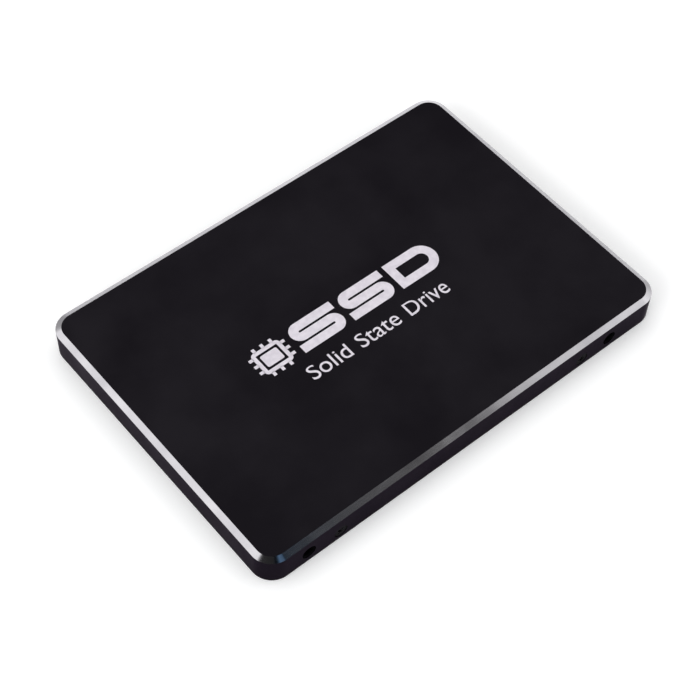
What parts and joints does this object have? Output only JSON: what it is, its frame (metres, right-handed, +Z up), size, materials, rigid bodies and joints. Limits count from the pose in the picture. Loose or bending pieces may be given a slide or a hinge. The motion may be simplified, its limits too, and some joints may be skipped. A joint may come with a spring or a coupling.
{
  "type": "solid state drive",
  "caption": "Flat 2.5 inch 7 mm solid state drive: black aluminium shell with bright chamfer, bottom cover, flash circuit board and SATA plug.",
  "frame": {"origin": "centre of the overall box's bottom face, in the plane that the drive rests on", "axes": "+X along the length towards the SATA plug, +Y across the width towards the power end of the plug, +Z up through the printed top face"},
  "size_m": [0.1002, 0.0698, 0.007],
  "materials": {
    "shell": "black anodised, fine satin blast, with a bright diamond-cut top chamfer",
    "cover": "black powder-coated sheet",
    "screw": "black oxide",
    "nickel": "nickel plated",
    "board": "satin solder mask on glass fibre",
    "plug": "moulded black thermoplastic",
    "contact": "gold plated",
    "chip": "matt moulding compound",
    "ferrite": "grey pressed ferrite",
    "tantalum": "moulded yellow case",
    "pad": "soft grey silicone",
    "film": "thin black polyester film",
    "label": "matt white printed label"
  },
  "bodies": {
    "root": {"top_shell": "shell", "bottom_cover": "cover", "side_screw_1": "screw", "side_screw_2": "screw", "side_screw_3": "screw", "side_screw_4": "screw", "board_screw_1": "nickel", "board_screw_2": "nickel", "board_screw_3": "nickel", "board_screw_4": "nickel", "board_lock_1": "nickel", "board_lock_2": "nickel", "crystal": "nickel", "circuit_board": "board", "sata_plug_housing": "plug", "signal_contact_1": "contact", "signal_contact_2": "contact", "signal_contact_3": "contact", "signal_contact_4": "contact", "signal_contact_5": "contact", "signal_contact_6": "contact", "signal_contact_7": "contact", "power_contact_1": "contact", "power_contact_2": "contact", "power_contact_3": "contact", "power_contact_4": "contact", "power_contact_5": "contact", "power_contact_6": "contact", "power_contact_7": "contact", "power_contact_8": "contact", "power_contact_9": "contact", "power_contact_10": "contact", "power_contact_11": "contact", "power_contact_12": "contact", "power_contact_13": "contact", "power_contact_14": "contact", "power_contact_15": "contact", "nand_chip_1": "chip", "nand_chip_2": "chip", "nand_chip_3": "chip", "nand_chip_4": "chip", "controller_chip": "chip", "dram_chip": "chip", "firmware_chip": "chip", "power_manager_chip": "chip", "regulator_chip_1": "chip", "regulator_chip_2": "chip", "inductor_1": "ferrite", "inductor_2": "ferrite", "bulk_capacitor_1": "tantalum", "bulk_capacitor_2": "tantalum", "bulk_capacitor_3": "tantalum", "controller_thermal_pad": "pad", "flash_thermal_pad": "pad", "insulating_film": "film", "bottom_label": "label"}
  },
  "joints": []
}
